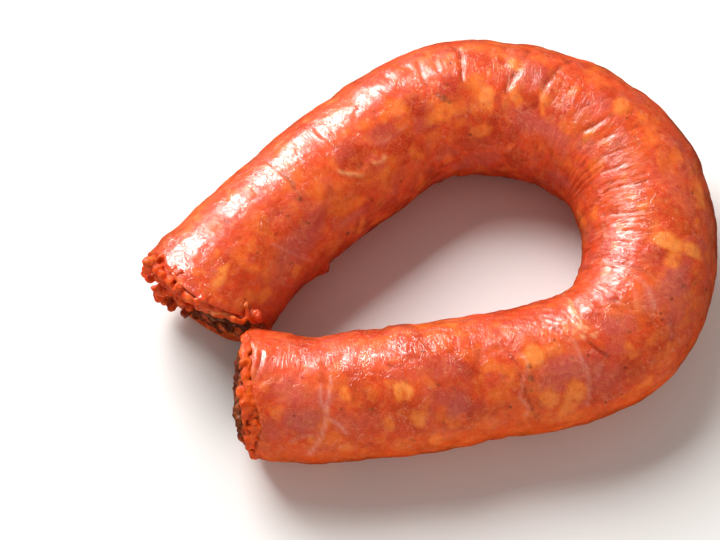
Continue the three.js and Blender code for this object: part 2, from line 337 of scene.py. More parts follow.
LEAN = [
    (24, 140, 10, 4.2, -12, 1.0), (16, 146, 6, 3.0, 0, .7), (43, 154, 5, 1.8, 10, 1.1), (36, 126, 5, 2.4, 0, .45),
    (63, 108, 5, 2.2, 0, .6), (54, 98, 6, 1.8, 0, .4), (28, 108, 5, 2.2, 0, .35), (120, 128, 12, 2.8, 6, 1.0),
    (136, 124, 5, 2.4, 0, .7), (112.6, 86, 3.6, 3.2, 0, .6), (104, 92, 2.6, 2.4, 0, .35), (132, 90, 3.0, 3.0, 0, .5),
    (146, 116, 3, 2.6, 0, .35), (161, 74, 5, 2.6, 0, .5), (166, 62, 4, 2.2, 0, .4), (185, 66, 5.6, 3.6, 0, 1.15),
    (191.6, 78, 3.4, 3.0, 0, .9), (191, 52, 3.6, 2.6, 0, .7), (203, 82, 4.4, 3.4, 20, .9), (210, 46, 4.4, 4.0, 0, .7),
    (216.6, 62, 6.4, 3.6, 10, 1.2), (222, 54, 3.6, 2.6, 0, .9), (206, 66, 3.4, 2.4, 0, .6), (234, 62, 3, 2, 0, .3),
    (246.4, 48, 3.6, 3.4, 0, 1.1), (249.6, 58, 2.6, 2.4, 0, .8), (248, 82, 4.0, 3.4, 0, .5), (253, 62, 2, 3, 0, .5),
    (268, 48, 3.0, 2.2, 0, .5), (283.6, 52, 3.8, 3.6, 0, 1.2), (286.6, 74, 4.0, 3.4, 0, .9), (279.6, 68, 3.6, 3.0, 0, .7),
    (281, 18, 2.6, 2.2, 0, .7), (274, 46, 3.0, 3.2, 0, .6), (290, 40, 2.4, 3.4, 0, .5), (241, 44, 2.2, 2, 0, .3),
    (2, 132, 3, 1.6, 0, .3), (76, 120, 4, 1.8, 0, .3), (68, 160, 4, 2, 0, .3),
]
# Deep-red stretches where the paste is leaner and wetter.
DEEP = [
    (34, 128, 4.5, 2.2, 0, .6), (24, 102, 5, 2.4, 0, .6), (40, 146, 3, 2, 0, .5), (52, 112, 4.6, 3.4, 0, .8),
    (66, 108, 4, 2.6, 0, .5), (78, 112, 4, 2.6, 0, .6), (90, 100, 4.5, 3.0, 0, .9), (88, 82, 3.0, 2.0, 0, .5),
    (113, 112, 3.4, 3.0, 0, .8), (123, 112, 3.4, 3.2, 0, .7), (103, 128, 3, 1.8, 0, .5), (130, 106, 2.4, 2.6, 0, .5),
    (144, 104, 3, 3, 0, .4), (152, 74, 3, 3, 0, .3), (170, 70, 3, 3, 0, .5), (183, 92, 3.4, 3.2, 0, .5),
    (198, 96, 3, 3, 0, .5), (212, 72, 3, 3, 0, .4), (229, 58, 2.4, 4, 0, .5), (241, 70, 3.4, 3.4, 0, .5),
    (250, 88, 4, 2.4, 0, .5), (258, 56, 3.4, 2.8, 0, .5), (268, 62, 3.4, 3.2, 0, .6), (272, 84, 4, 3, 0, .3),
    (292, 66, 2.4, 4, 0, .5), (240, 12, 4, 2, 0, .4), (268, 14, 2.4, 3, 0, .5),
]
# Spice specks that show dark: (s, angle, radius).
SPECKS = [(34.3, 108, .75), (35.2, 104, .35), (21.0, 147, .55), (41.0, 165, .7), (61.6, 154, .5), (86.2, 108, 1.1),
          (84.8, 104, .6), (87.6, 112, .5), (28.4, 112, .35), (23.0, 117, .4), (31.6, 128, .35), (48.6, 112, .4),
          (70.2, 154, .4), (113.0, 84, .35), (122.4, 100, .4), (156.8, 68, .4), (162.0, 60, .3), (185.0, 58, .6),
          (187.6, 64, .4), (183.0, 48, .4), (194.0, 60, .35), (215.6, 72, .4), (226.4, 73, .6), (226.6, 62, .9),
          (227.0, 52, .4), (209.0, 30, .35), (238.4, 66, .35), (247.0, 64, .4), (250.6, 70, .35), (267.6, 56, .35),
          (289.0, 62, .35), (284.6, 88, .3), (275.4, 58, .35), (258.0, 20, .3), (232.6, 30, .3), (201.0, 72, .35)]
# Pitted and beaded spots: (s, angle, half length, half width in mm, strength).
LIP = [(47.4, 104), (48.0, 113), (50.0, 120), (52.5, 126), (54.6, 127), (56.8, 124), (59.5, 126.5), (61.0, 125)]
PITS = [(54, 112, 5.5, 4.0, 1.0), (58, 86, 5.0, 1.6, .9), (74, 85, 3.4, 1.4, .8), (89.6, 94, 2.2, 3.0, 1.0),
        (66, 86, 2.6, 1.4, .6), (58, 134, 4.0, 1.8, .7), (285.6, 92, 5.0, 2.4, .9), (294, 94, 2.4, 2.6, .8),
        (200, 108, 6.0, 2.2, .6), (262, 92, 4.0, 2.0, .6), (20, 96, 3.0, 1.8, .3)]
RADIUS = 17.8                       # for turning an angle into millimetres


def sa(s, a_deg):
    return s, a_deg * DEG * RADIUS


def path_distance(s, arc, path):
    """Distance in mm to a path on the unrolled surface, and how far along it from 0 to 1."""
    pts = np.array([(p[0], p[1] * DEG * RADIUS) for p in path], float)
    # smooth the path
    t = np.linspace(0, len(pts) - 1, (len(pts) - 1) * 6 + 1)
    i = np.minimum(t.astype(int), len(pts) - 2)
    w = (t - i)[:, None]
    ext = np.vstack([2 * pts[0] - pts[1], pts, 2 * pts[-1] - pts[-2]])
    p0, p1, p2, p3 = ext[i], ext[i + 1], ext[i + 2], ext[i + 3]
    fine = 0.5 * (2 * p1 + (p2 - p0) * w + (2 * p0 - 5 * p1 + 4 * p2 - p3) * w ** 2 + (3 * p1 - p0 - 3 * p2 + p3) * w ** 3)
    best = np.full(s.shape, 1e9)
    where = np.zeros(s.shape)
    n = len(fine) - 1
    for k in range(n):
        a, b = fine[k], fine[k + 1]
        ab = b - a
        u = np.clip(((s - a[0]) * ab[0] + (arc - a[1]) * ab[1]) / max(1e-9, ab @ ab), 0, 1)
        d = np.hypot(s - a[0] - u * ab[0], arc - a[1] - u * ab[1])
        near = d < best
        best = np.where(near, d, best)
        where = np.where(near, (k + u) / n, where)
    return best, where


def near_path(s, arc, path, reach):
    pts = np.array([(p[0], p[1] * DEG * RADIUS) for p in path], float)
    lo, hi = pts.min(0) - reach, pts.max(0) + reach
    return np.where((s > lo[0]) & (s < hi[0]) & (arc > lo[1]) & (arc < hi[1]))[0]


def patches(s, arc, warp_s, warp_a, items, soft=0.55):
    """How much each point is inside the patches, 0 to about 1."""
    out = np.zeros(s.shape)
    for (ps, pa, hs, ha, turn, strength) in items:
        ps, pa = sa(ps, pa)
        reach = max(hs, ha) * 2.0 + 2.0
        k = np.where((np.abs(s - ps) < reach) & (np.abs(arc - pa) < reach))[0]
        if not len(k):
            continue
        x, y = s[k] + warp_s[k] - ps, arc[k] + warp_a[k] - pa
        c, q = math.cos(turn * DEG), math.sin(turn * DEG)
        r = np.sqrt(((x * c + y * q) / hs) ** 2 + ((-x * q + y * c) / ha) ** 2)
        out[k] = np.maximum(out[k], strength * smooth((1 + soft - r) / (2 * soft)))
    return out


def casing_displacement(s, a, p):
    """How far the casing stands out of the plain tube, in mm, at points p."""
    arc = wrap(a) * RADIUS
    d = np.zeros(s.shape)
    oa = np.interp(s, OUTER_ANGLE[:, 0], OUTER_ANGLE[:, 1]) * DEG
    ia = np.interp(s, INNER_ANGLE[:, 0], INNER_ANGLE[:, 1]) * DEG
    d += np.interp(s, OUTER[:, 0], OUTER[:, 1]) * lobe(a, oa, 38 * DEG)
    d += np.interp(s, INNER[:, 0], INNER[:, 1]) * lobe(a, ia, 34 * DEG)
    # the small flap of casing that stands out on the back arm's inner side
    x = s - 32.6
    d += 1.35 * np.where(x < 0, np.exp(-(x / 3.2) ** 2), np.exp(-(x / .55) ** 2)) * lobe(a, 201 * DEG, 15 * DEG)
    bend = smooth((s - 92) / 40) * smooth((228 - s) / 30)
    calm = 1 - 0.6 * lobe(a, -90 * DEG, 40 * DEG)
    d += calm * (.20 * fbm(p, 15, 2, 3) + .10 * vnoise(p, 7, 5) + .03 * vnoise(p, 3.4, 8) + .02 * vnoise(p, 1.7, 9))
    # the chunks of meat and fat press through the casing
    f1, f2, cid = cells(p + 1.2 * np.stack([vnoise(p, 5, 41), vnoise(p, 5, 42), vnoise(p, 5, 43)], 1), 6.2, 21)
    d += calm * (.15 * smooth((f2 - f1) / 2.2) - .075)
    e1, e2, _ = cells(p + .8 * np.stack([vnoise(p, 3, 44), vnoise(p, 3, 45), vnoise(p, 3, 46)], 1), 3.4, 23)
    d += calm * (.025 * smooth((e2 - e1) / 1.1) - .012)
    # wrinkles across the bend, deepest on its inner side
    inner = lobe(a, 172 * DEG, 62 * DEG) * bend
    fan = s + 1.1 * vnoise(np.stack([s, arc, 0 * s], 1), 11, 61) + .5 * vnoise(np.stack([s, arc, 0 * s], 1), 4, 62)
    q = np.stack([fan, arc * .16, 0 * s], 1)
    w1 = 1 - np.abs(vnoise(q, 3.6, 63)) * 2.2
    w2 = 1 - np.abs(vnoise(q + 50, 2.0, 64)) * 2.2
    d += inner * (-.34 * np.clip(w1, 0, 1) ** 2 - .16 * np.clip(w2, 0, 1) ** 2 + .12)
    # light cross folds on the rest
    rest = (1 - .6 * bend) * (0.25 + 0.75 * lobe(a, 60 * DEG, 50 * DEG))
    q = np.stack([s + 1.5 * vnoise(p, 9, 71), arc * .22, 0 * s + 9], 1)
    w3 = 1 - np.abs(vnoise(q, 6.5, 72)) * 3.0
    d += rest * (-.16 * np.clip(w3, 0, 1) ** 2)
    for depth, half, _, path in FOLDS:
        k = near_path(s, arc, path, half * 3.4 + .4)
        if not len(k):
            continue
        if depth > 0 and 94 < path[0][0] < 200:
            depth = depth * .62
        wob = .22 * vnoise(p[k], 2.6, 81)
        dist, u = path_distance(s[k] + wob, arc[k], path)
        ends = smooth(u / .14) * smooth((1 - u) / .14)
        cut = np.exp(-(dist / half) ** 2)
        shoulder = np.exp(-((dist - 1.7 * half) / (1.1 * half)) ** 2) if depth > 0 else 0
        d[k] += ends * (-depth * cut + .28 * abs(depth) * shoulder)
    for height, half, _, path in THREADS + STRAND:
        k = near_path(s, arc, path, half * 4)
        if len(k):
            dist, u = path_distance(s[k] + .12 * vnoise(p[k], 1.6, 83), arc[k], path)
            d[k] += height * smooth(u / .1) * smooth((1 - u) / .1) * np.exp(-(dist / max(half, .42)) ** 2)
    pit = np.zeros(s.shape)
    for ps, pa, hs, ha, strength in PITS:
        ps, pa = sa(ps, pa)
        r = np.sqrt(((s - ps) / hs) ** 2 + ((arc - pa) / ha) ** 2)
        pit = np.maximum(pit, strength * smooth((1.3 - r) / .7))
    g1, g2, _ = cells(p, 1.7, 91)
    d += pit * (.22 * (g1 / 1.7 - .45) * -1 + .10 * vnoise(p, 1.3, 92))
    # raised lip round the pitted hollow on the back arm
    for path in (LIP,):
        k = near_path(s, arc, path, 3)
        dist, u = path_distance(s[k] + .3 * vnoise(p[k], 1.8, 93), arc[k], path)
        d[k] += .42 * smooth(u / .2) * smooth((1 - u) / .15) * np.exp(-(dist / .55) ** 2) * smooth(.55 + 1.1 * vnoise(p[k], 1.8, 94))
    ps, pa = sa(54, 113)
    r = np.sqrt(((s - ps) / 5.2) ** 2 + ((arc - pa) / 3.6) ** 2)
    d -= .28 * smooth((1.1 - r) / .6)
    return d


def wrap(a):
    """The angle from -90 to 270 degrees, so that the seam is under the sausage."""
    return np.mod(a + math.pi / 2, 2 * math.pi) - math.pi / 2


# Where the casing's torn edge lies, in mm along from each end's plane, by angle.
BACK_EDGE = np.array([(-90, -.6), (-40, -.4), (0, -.3), (25, -.5), (40, -.6), (50, -.8), (58, -1.8), (66, -3.4), (75, -4.8), (82, -5.6),
                      (92, -6.0), (105, -6.4), (114, -6.5), (120, -6.0), (128, -4.6), (135, -3.2), (142, -2.2),
                      (150, -1.2), (160, .6), (172, 2.2), (185, 2.9), (200, 2.2), (225, .4), (250, -.4), (270, -.6)])
FRONT_EDGE = np.array([(-90, -3.0), (-45, -4.2), (-20, -4.8), (0, -5.0), (12, -5.4), (22, -6.2), (34, -6.8), (44, -6.0), (52, -5.4),
                       (60, -4.4), (68, -3.2), (76, -2.2), (86, -1.5), (96, -1.1), (106, -.6), (115, .1),
                       (124, 1.1), (134, 1.7), (145, 1.0), (158, -.4), (175, -2.0), (195, -2.6), (220, -2.2),
                       (245, -2.4), (270, -3.0)])


def edge_at(table, a, seed):
    deg = wrap(a) / DEG
    ring = np.stack([np.cos(a) * RADIUS, np.sin(a) * RADIUS, 0 * a + seed * 31.0], -1).reshape(-1, 3)
    rough = .55 * vnoise(ring, 4.0, seed) + .30 * vnoise(ring, 1.7, seed + 1) + .14 * vnoise(ring, .8, seed + 2)
    return np.interp(deg, table[:, 0], table[:, 1]) + rough.reshape(np.shape(a))


def tube_point(s, a, share, shift, out=0.0):
    """A point of the surface in mm: like the CAD model's, plus out mm of displacement."""
    c, rad, t = along(s)
    uneven = sum(k * np.sin(2 * np.pi * s / w + lobes * a + ph) for k, w, lobes, ph in UNEVEN)
    r = rad * (1 + uneven) * share + out
    side = np.cos(a) * r
    z = rad - PRESSED + np.sin(a) * r
    z = np.where(z > .6, z, .6 * np.exp((np.minimum(z, .6) - .6) / .6))   # the flattened underside, softly
    z = np.where(z < .25, np.maximum(0, (z - .05) * 1.25), z)
    return np.stack([c[..., 0] - t[..., 1] * side + t[..., 0] * shift,
                     c[..., 1] + t[..., 0] * side + t[..., 1] * shift, z], -1)


# =====================================================================
# 3. The tube of casing with its meat
# =====================================================================
AROUND = 134
# more vertices on the upper three quarters than underneath
_g = np.linspace(-90, 270, 2001) * DEG
_w = 1.25 - .75 * lobe(_g, -90 * DEG, 55 * DEG)
_cum = np.concatenate([[0], np.cumsum((_w[1:] + _w[:-1]) / 2)])
ANGLES = np.interp(np.arange(AROUND) / AROUND * _cum[-1], _cum, _g)

# stations: closer together on the bend and at the two ends
_s = np.linspace(0, LENGTH, 4001)
_c, _r, _t = along(_s)
_turn = np.abs(np.gradient(np.unwrap(np.arctan2(_t[:, 1], _t[:, 0])), _s))
_want = np.clip(.94 / (1 + 17.8 * _turn), .58, .78)
_want = np.minimum(_want, .42 + .24 * smooth(np.minimum(_s, LENGTH - _s) / 14 - .2))
_n = np.concatenate([[0], np.cumsum((1 / _want[1:] + 1 / _want[:-1]) / 2 * np.diff(_s))])
STATIONS = int(_n[-1])
S_ROWS = np.interp(np.linspace(0, _n[-1], STATIONS + 1), _n, _s)
CAP_RINGS = 14

S, A = np.meshgrid(S_ROWS, ANGLES, indexing="ij")
back_shift = -back_rim(A) * (1 - smooth(S / END_BLEND))
front_shift = front_rim(A) * (1 - smooth((LENGTH - S) / END_BLEND))
shift = back_shift + front_shift
base = tube_point(S, A, 1.0, shift)
q_true = (S + shift)
flat = lambda x: x.reshape(-1, *x.shape[2:])
pts = flat(base)
disp = casing_displacement(flat(q_true), flat(A), pts).reshape(S.shape)

# beyond its torn edge the casing stops and the meat under it shows
edge_b = edge_at(BACK_EDGE, A, 201)
edge_f = edge_at(FRONT_EDGE, A, 301)
beyond = np.maximum(smooth((edge_b - q_true) / .35 + .5), smooth((q_true - LENGTH - edge_f) / .35 + .5))
lip = np.exp(-((q_true - edge_b - .5) / .55) ** 2) + np.exp(-((LENGTH + edge_f - q_true - .5) / .55) ** 2)
P3 = pts
meat_rough = (.45 * vnoise(P3, 2.2, 401) + .25 * vnoise(P3, 1.1, 402)).reshape(S.shape)
disp = disp * (1 - beyond) + beyond * (-.75 + meat_rough) + .12 * lip * (1 - beyond)
tube = tube_point(S, A, 1.0, shift, disp)

verts = [tube.reshape(-1, 3)]
rings = len(S_ROWS)


def cap(s_end, rim, dome, sign):
    """Rings of a broken face from its rim inwards, just under the crumbs."""
    out = []
    for k in range(CAP_RINGS, 0, -1):
        share = k / (CAP_RINGS + 1.0)
        a = ANGLES
        sh = sign * (rim(a) * share ** 2 + dome * (1 - share ** 2.4)) - sign * .9
        out.append(tube_point(np.full_like(a, s_end), a, share * .96, sh))
    return out


back_cap = cap(0.0, back_rim, BACK_DOME, -1)
front_cap = cap(LENGTH, front_rim, FRONT_DOME, 1)
verts += back_cap + front_cap
centre_b = tube_point(np.array([0.0]), np.array([0.0]), 0.0, np.array([-BACK_DOME + .9]))
centre_f = tube_point(np.array([LENGTH]), np.array([0.0]), 0.0, np.array([FRONT_DOME - .9]))
verts += [centre_b, centre_f]
V = np.vstack(verts)

n = AROUND
j = np.arange(n)
jn = (j + 1) % n


def strip(a0, b0):
    """Quads between ring a0 and ring b0, b0 further along."""
    return np.stack([a0 + j, a0 + jn, b0 + jn, b0 + j], 1)


quads = [strip(i * n, (i + 1) * n) for i in range(rings - 1)]
start_b = rings * n
start_f = start_b + CAP_RINGS * n
last = 0
for k in range(CAP_RINGS):
    quads.append(strip(start_b + k * n, last))
    last = start_b + k * n
prev = (rings - 1) * n
for k in range(CAP_RINGS):
    quads.append(strip(prev, start_f + k * n))
    prev = start_f + k * n
quads = np.vstack(quads)
pole_b, pole_f = len(V) - 2, len(V) - 1
tris_b = np.stack([np.full(n, pole_b), last + jn, last + j], 1)
tris_f = np.stack([np.full(n, pole_f), prev + j, prev + jn], 1)


def make_mesh(name, v_mm, polys):
    m = bpy.data.meshes.new(name)
    m.from_pydata([tuple(x) for x in (v_mm * MM)], [], polys)
    m.update()
    return m


def make_object(name, mesh):
    o = bpy.data.objects.new(name, mesh)
    bpy.context.scene.collection.objects.link(o)
    return o


polys = [tuple(q) for q in quads.tolist()] + [tuple(q) for q in tris_b.tolist()] + [tuple(q) for q in tris_f.tolist()]
sausage = make_object("cured_sausage", make_mesh("cured_sausage", V, polys))

# =====================================================================
# 4. Crumbs of coarse mince at the two broken ends
# =====================================================================
rng = np.random.default_rng(20260)


def ico(level):
    """Vertices and faces of a unit sphere made of triangles."""
    g = (1 + 5 ** .5) / 2
    v = [(-1, g, 0), (1, g, 0), (-1, -g, 0), (1, -g, 0), (0, -1, g), (0, 1, g), (0, -1, -g), (0, 1, -g),
         (g, 0, -1), (g, 0, 1), (-g, 0, -1), (-g, 0, 1)]
    f = [(0, 11, 5), (0, 5, 1), (0, 1, 7), (0, 7, 10), (0, 10, 11), (1, 5, 9), (5, 11, 4), (11, 10, 2), (10, 7, 6),
         (7, 1, 8), (3, 9, 4), (3, 4, 2), (3, 2, 6), (3, 6, 8), (3, 8, 9), (4, 9, 5), (2, 4, 11), (6, 2, 10),
         (8, 6, 7), (9, 8, 1)]
    v = [np.array(x) / np.linalg.norm(x) for x in v]
    for _ in range(level):
        mid = {}
        nf = []

        def m(a, b):
            key = (min(a, b), max(a, b))
            if key not in mid:
                x = v[a] + v[b]
                v.append(x / np.linalg.norm(x))
                mid[key] = len(v) - 1
            return mid[key]

        for a, b, c in f:
            ab, bc, ca = m(a, b), m(b, c), m(c, a)
            nf += [(a, ab, ca), (b, bc, ab), (c, ca, bc), (ab, bc, ca)]
        f = nf
    return np.array(v), np.array(f)


ICO_V, ICO_F = ico(2)


def random_turn():
    q = rng.normal(size=4)
    q /= np.linalg.norm(q)
    w, x, y, z = q
    return np.array([[1 - 2 * (y * y + z * z), 2 * (x * y - z * w), 2 * (x * z + y * w)],
                     [2 * (x * y + z * w), 1 - 2 * (x * x + z * z), 2 * (y * z - x * w)],
                     [2 * (x * z - y * w), 2 * (y * z + x * w), 1 - 2 * (x * x + y * y)]])


class Crumbs:
    """Grains of mince gathered into one lump."""

    def __init__(self):
        self.v, self.f, self.count = [], [], 0
        self.grains = []

    def grain(self, centre, r, squash=None):
        squash = rng.uniform(.72, 1.25, 3) if squash is None else squash
        v = ICO_V * (r * squash)
        v = v @ random_turn().T
        w = v + centre
        bumps = 1 + .26 * vnoise(w + 7.7 * self.count, r * .9, 501) + .12 * vnoise(w, r * .45, 502)
        v = v * bumps[:, None] + centre
        v[:, 2] = np.maximum(v[:, 2], .05)
        self.v.append(v)
        self.f.append(ICO_F + self.count)
        self.count += len(v)
        self.grains.append((centre, r))


def end_frame(s_end):
    c, rad, t = along(np.array([s_end]))
    return c[0], rad[0], t[0]


def end_point(s_end, sign, rim, dome, share, a, out):
    """A point on a broken face: share of the radius, angle, and mm out of the face."""
    sh = sign * (rim(np.array([a]))[0] * share ** 2 + dome * (1 - share ** 2.4) + out)
    return tube_point(np.array([s_end]), np.array([a]), share, np.array([sh]))[0]


def face_crumbs(s_end, sign, rim, dome, total, sizes, level=-.3, spread=.45):
    """Grains of all sizes packed over a broken face."""
    lump = Crumbs()
    for k in range(total):
        share = math.sqrt((k + .5) / total) * .955
        a = k * 2.399963 + rng.normal(0, .12)
        share = min(.955, share * (1 + rng.normal(0, .035)))
        r = rng.uniform(*sizes) * (1.35 if rng.random() < .2 else 1.0)
        if share > .84:
            r = min(r, 1.5)
        out = rng.normal(level, spread) - r * .45
        c = end_point(s_end, sign, rim, dome, share, a, out)
        c[2] = max(c[2], r * .8)
        lump.grain(c, r, rng.uniform(.6, 1.45, 3))
    return lump


def knot(lump, centre, r, grains):
    """A lump of mince: one body with smaller grains stuck all over it."""
    lump.grain(centre, r * .90, rng.uniform(.82, 1.15, 3))
    for _ in range(grains):
        d = rng.normal(size=3)
        d /= np.linalg.norm(d)
        g = r * rng.uniform(.30, .5)
        c = centre + d * (r * .86 - g * .3) * rng.uniform(.85, 1.05)
        c[2] = max(c[2], g)
        lump.grain(c, g, rng.uniform(.7, 1.3, 3))


back = face_crumbs(0.0, -1, back_rim, BACK_DOME, 190, (1.0, 1.9), -1.1, .35)
# the lumps that stand out of the back end: angle, share of the radius, mm out of the face, radius
for a, share, out, r in [
        (47, 1.09, 1.0, 1.9), (44, 1.01, 1.4, 1.6), (55, .99, .7, 1.4), (57, .87, 1.3, 1.5), (4, .84, 1.7, 1.5),
        (68, .69, 1.3, 1.9), (10, .50, 1.5, 1.5), (-30, .83, 1.6, 2.0), (-21, .88, 1.3, 1.2), (-49, .81, 1.3, 1.4),
        (-1, .28, 1.1, 1.5), (67, .32, .9, 1.2), (-38, .16, 1.0, 1.35), (-42, .90, 1.2, 1.3), (3, .97, 1.4, 1.2),
        (63, .94, .9, 1.5), (72, .92, .8, 1.6), (80, .84, .9, 1.7), (84, .97, .2, 1.2), (92, .89, .5, 1.5), (99, .79, .7, 1.5),
        (104, .94, .1, 1.2), (112, .86, .3, 1.3), (88, .62, .9, 1.6), (103, .56, .6, 1.4), (119, .93, -.1, 1.1),
        (125, .80, .2, 1.2), (28, .95, 1.0, 1.6), (15, .94, 1.2, 1.5), (32, .72, 1.3, 1.7), (45, .52, 1.1, 1.5),
        (-12, .66, 1.4, 1.6), (-62, .58, .9, 1.5), (37, 1.04, .4, 1.3), (20, 1.0, .3, 1.2),
        (108, .78, .6, 1.7), (116, .80, .5, 1.5), (124, .88, .4, 1.4), (131, .84, .3, 1.5), (137, .90, .2, 1.2), (97, .92, .6, 1.5),
        (110, .66, .7, 1.5), (122, .70, .4, 1.4), (143, .86, .1, 1.3), (76, .78, 1.0, 1.9), (60, .80, 1.1, 2.1), (88, .76, .8, 1.8)]:
    c = end_point(0.0, -1, back_rim, BACK_DOME, share, a * DEG, out + .7)
    knot(back, c, r * 1.02, 4)
    back.grain(end_point(0.0, -1, back_rim, BACK_DOME, share * .96, a * DEG, out - .6), r * .8)
# a few crumbs that lie on the casing at the inner corner: angle, mm beyond the end, lift, radius
for a, q, lift, r in [(138, 1.7, .7, .75), (142, .8, .9, .95), (146, -.2, .7, 1.0), (151, 2.1, 1.2, 1.55), (154, .4, .6, .95),
                      (146, -1.9, .4, .95), (159, 2.8, .6, .85), (149, .4, .6, .9), (143, -2.6, .1, 1.0), (158, 1.4, .5, .95),
                      (139, -3.2, -.3, 1.1), (162, 2.4, .2, .9)]:
    c = tube_point(np.array([0.0]), np.array([a * DEG]), 1.0, np.array([q]), np.array([lift]))[0]
    knot(back, c, r, 5)
front = face_crumbs(LENGTH, 1, front_rim, FRONT_DOME, 220, (.9, 1.7), -.55, .22)
# the fine-grained band between the casing's edge and the face
for k in range(300):
    a = rng.uniform(-80, 262) * DEG
    e = np.interp(wrap(np.array([a]))[0] / DEG, FRONT_EDGE[:, 0], FRONT_EDGE[:, 1])
    rimq = front_rim(np.array([a]))[0]
    q = rng.uniform(min(e, rimq - .6) + .2, rimq + .3)
    r = rng.uniform(.45, .85) * (1.6 if rng.random() < .08 else 1)
    c = tube_point(np.array([LENGTH]), np.array([a]), 1.0, np.array([q]), np.array([-r * .55 - rng.uniform(.05, .3)]))[0]
    c[2] = max(c[2], r * .8)
    front.grain(c, r, rng.uniform(.6, 1.4, 3))


def weld(lump, name, voxel, rough):
    o = make_object(name, make_mesh(name, np.vstack(lump.v), [tuple(x) for x in np.vstack(lump.f).tolist()]))
    m = o.modifiers.new("voxels", "REMESH")
    m.mode = "VOXEL"
    m.voxel_size = voxel * MM
    m.use_smooth_shade = True
    bpy.context.view_layer.update()
    dg = bpy.context.evaluated_depsgraph_get()
    done = bpy.data.meshes.new_from_object(o.evaluated_get(dg))
    o.modifiers.clear()
    o.data = done
    # roughen the surface: torn mince is never smooth
    k = len(done.vertices)
    p, nrm = np.empty(k * 3), np.empty(k * 3)
    done.vertices.foreach_get("co", p)
    done.vertices.foreach_get("normal", nrm)
    p, nrm = p.reshape(-1, 3) / MM, nrm.reshape(-1, 3)
    d = rough * (vnoise(p, 1.7, 511) + .8 * vnoise(p, .85, 512))
    p = p + nrm * d[:, None]
    p[:, 2] = np.maximum(p[:, 2], .03)
    done.vertices.foreach_set("co", (p * MM).ravel())
    done.update()
    return o


VOXEL = .45
crumb_objects = [weld(back, "crumbs_back", VOXEL, .20), weld(front, "crumbs_front", VOXEL, .18)]

# one closed body: casing, meat and crumbs together
meat_index = bpy.data.materials.new("meat_marker")
casing_index = bpy.data.materials.new("casing_marker")
sausage.data.materials.append(casing_index)
for o in crumb_objects:
    o.data.materials.clear()
    o.data.materials.append(meat_index)
    b = sausage.modifiers.new("join_" + o.name, "BOOLEAN")
    b.operation = "UNION"
    b.solver = "MANIFOLD"
    b.object = o
bpy.context.view_layer.update()
dg = bpy.context.evaluated_depsgraph_get()
joined = bpy.data.meshes.new_from_object(sausage.evaluated_get(dg))
sausage.modifiers.clear()
print("tube faces", len(sausage.data.polygons), "crumb faces", [len(o.data.polygons) for o in crumb_objects],
      "joined faces", len(joined.polygons), "materials", [m.name if m else None for m in joined.materials])
old = sausage.data
sausage.data = joined
bpy.data.meshes.remove(old)
for o in crumb_objects:
    md = o.data
    bpy.data.objects.remove(o)
    bpy.data.meshes.remove(md)

mesh = sausage.data
import bmesh
bm = bmesh.new()
bm.from_mesh(mesh)
bmesh.ops.remove_doubles(bm, verts=bm.verts, dist=2e-6)
bad = [e for e in bm.edges if len(e.link_faces) != 2]
print("open or doubled edges", len(bad), "volume cm3", bm.calc_volume() * 1e6)
bm.to_mesh(mesh)
bm.free()

# =====================================================================
# 5. Where every vertex is, and what colour the meat has there
# =====================================================================
nv = len(mesh.vertices)
co = np.empty(nv * 3)
mesh.vertices.foreach_get("co", co)
co = co.reshape(-1, 3) / MM
# nearest point of the centreline, refined
grid_s = np.arange(0, LENGTH, .5)
gc, _, _ = along(grid_s)
near = np.empty(nv)
for i in range(0, nv, 20000):
    blk = co[i:i + 20000]
    d2 = (blk[:, None, 0] - gc[None, :, 0]) ** 2 + (blk[:, None, 1] - gc[None, :, 1]) ** 2
    near[i:i + 20000] = grid_s[np.argmin(d2, 1)]
q = near.copy()
for _ in range(3):
    c, rad, t = along(q)
    q = q + ((co[:, 0] - c[:, 0]) * t[:, 0] + (co[:, 1] - c[:, 1]) * t[:, 1])
    # only step beyond the ends from the end itself
c, rad, t = along(q)
side = -(co[:, 0] - c[:, 0]) * t[:, 1] + (co[:, 1] - c[:, 1]) * t[:, 0]
up = co[:, 2] - (rad - PRESSED)
ang = np.arctan2(up, side)
ang = wrap(ang)
rho = np.hypot(side, up)
arc = ang * RADIUS

# crumb vertices
mi = np.empty(len(mesh.polygons), np.int32)
mesh.polygons.foreach_get("material_index", mi)
names = [m.name for m in mesh.materials]
meat_slot = names.index("meat_marker")
loops = np.empty(len(mesh.loops), np.int32)
mesh.loops.foreach_get("vertex_index", loops)
starts = np.empty(len(mesh.polygons), np.int32)
mesh.polygons.foreach_get("loop_start", starts)
counts = np.empty(len(mesh.polygons), np.int32)
mesh.polygons.foreach_get("loop_total", counts)
loop_meat = np.repeat(mi == meat_slot, counts)
order = np.argsort(starts)
loop_meat = np.repeat((mi == meat_slot)[order], counts[order])
m_sum = np.bincount(loops, weights=loop_meat.astype(float), minlength=nv)
m_cnt = np.bincount(loops, minlength=nv)
crumb = m_sum / np.maximum(m_cnt, 1)
eb = edge_at(BACK_EDGE, ang, 201)
ef = edge_at(FRONT_EDGE, ang, 301)
beyond = np.maximum(smooth((eb - q) / .35 + .5), smooth((q - LENGTH - ef) / .35 + .5))
meat = np.maximum(crumb, beyond)


def lin(r, g, b):
    v = np.array([r, g, b], float) / 255
    return np.where(v <= .04045, v / 12.92, ((v + .055) / 1.055) ** 2.4)


PASTE, DEEPRED, MAUVE = lin(226, 76, 30), lin(172, 34, 10), lin(204, 90, 80)
# the rim orange is painted bounce light, used for the tint of the low sides below
ORANGE, PALE, BOUNCE_ORANGE = lin(250, 128, 42), lin(254, 164, 88), lin(236, 84, 0)
MEAT, MEAT_GAP_SHADE, MEATFAT = lin(232, 70, 12), lin(120, 26, 4), lin(246, 124, 36)


def blend(base, colour, w):
    w = np.clip(w, 0, 1)[:, None]
    return base * (1 - w) + colour[None, :] * w


